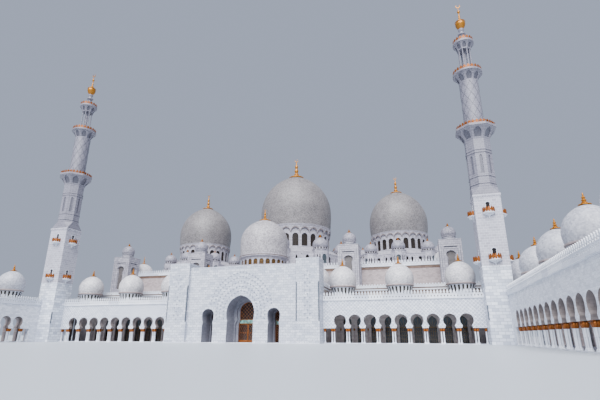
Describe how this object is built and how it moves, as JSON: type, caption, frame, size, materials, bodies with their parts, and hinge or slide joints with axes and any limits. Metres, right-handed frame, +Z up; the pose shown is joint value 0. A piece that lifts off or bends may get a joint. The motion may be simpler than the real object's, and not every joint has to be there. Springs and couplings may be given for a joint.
{
  "type": "mosque building, 1:10 scale model",
  "caption": "White marble mosque at 1:10: domed prayer hall behind a tall arched portal with hinged doors, arcaded courtyard ranges with small domes, slender minarets",
  "frame": {"origin": "Centre of the bounding box's base, on the ground, under the porch behind the portal", "axes": "+X to the right seen from the courtyard, +Y from the courtyard into the prayer hall, +Z up"},
  "size_m": [17.28, 15.5726, 10.66],
  "materials": {
    "white_marble": "honed white marble cladding, cool in tone",
    "dome_mosaic": "pale grey stone mosaic",
    "gold_finish": "gold leaf and gold glass mosaic",
    "lattice_glass": "dark glass behind a gilded lattice",
    "floor_marble": "polished white marble paving"
  },
  "bodies": {
    "building": {"right_arcade_floor": "floor_marble", "left_arcade_floor": "floor_marble", "right_wing_arcade": "white_marble", "left_wing_arcade": "white_marble", "right_side_arcade_inner": "white_marble", "left_side_arcade_inner": "white_marble", "right_side_arcade_outer": "white_marble", "left_side_arcade_outer": "white_marble", "right_arcade_roof": "white_marble", "left_arcade_roof": "white_marble", "portal_front_wall": "white_marble", "right_portal_tower": "white_marble", "left_portal_tower": "white_marble", "portal_inner_wall": "white_marble", "door_arch_screen": "lattice_glass", "right_side_door_screen": "lattice_glass", "left_side_door_screen": "lattice_glass", "hall_floor": "floor_marble", "right_hall_front_wall": "white_marble", "left_hall_front_wall": "white_marble", "right_hall_side_wall": "white_marble", "left_hall_side_wall": "white_marble", "hall_back_wall": "white_marble", "clerestory_walls": "white_marble", "lower_roof": "white_marble", "upper_roof": "white_marble", "right_inner_turret": "white_marble", "left_inner_turret": "white_marble", "right_outer_turret": "white_marble", "left_outer_turret": "white_marble", "vestibule_drum": "white_marble", "vestibule_dome": "dome_mosaic", "main_podium": "white_marble", "main_drum": "white_marble", "main_dome": "dome_mosaic", "main_finial": "gold_finish", "right_flank_podium": "white_marble", "left_flank_podium": "white_marble", "right_flank_drum": "white_marble", "left_flank_drum": "white_marble", "right_flank_dome": "dome_mosaic", "left_flank_dome": "dome_mosaic", "right_flank_finial": "gold_finish", "left_flank_finial": "gold_finish", "right_minaret_shaft": "white_marble", "left_minaret_shaft": "white_marble", "right_minaret_octagon": "white_marble", "left_minaret_octagon": "white_marble", "right_minaret_round_shaft": "white_marble", "left_minaret_round_shaft": "white_marble", "right_minaret_lantern": "white_marble", "left_minaret_lantern": "white_marble", "right_minaret_finial": "gold_finish", "left_minaret_finial": "gold_finish"},
    "right_door": {"right_door_leaf": "lattice_glass"},
    "left_door": {"left_door_leaf": "lattice_glass"}
  },
  "joints": [
    {"name": "right_door_hinge", "type": "hinge", "parent": "building", "child": "right_door", "pos_m": [0.296, -0.37375, 0.31], "axis": [0, 0, -1], "range_deg": [0, 90]},
    {"name": "left_door_hinge", "type": "hinge", "parent": "building", "child": "left_door", "pos_m": [-0.296, -0.37375, 0.31], "axis": [0, 0, 1], "range_deg": [0, 90]}
  ]
}
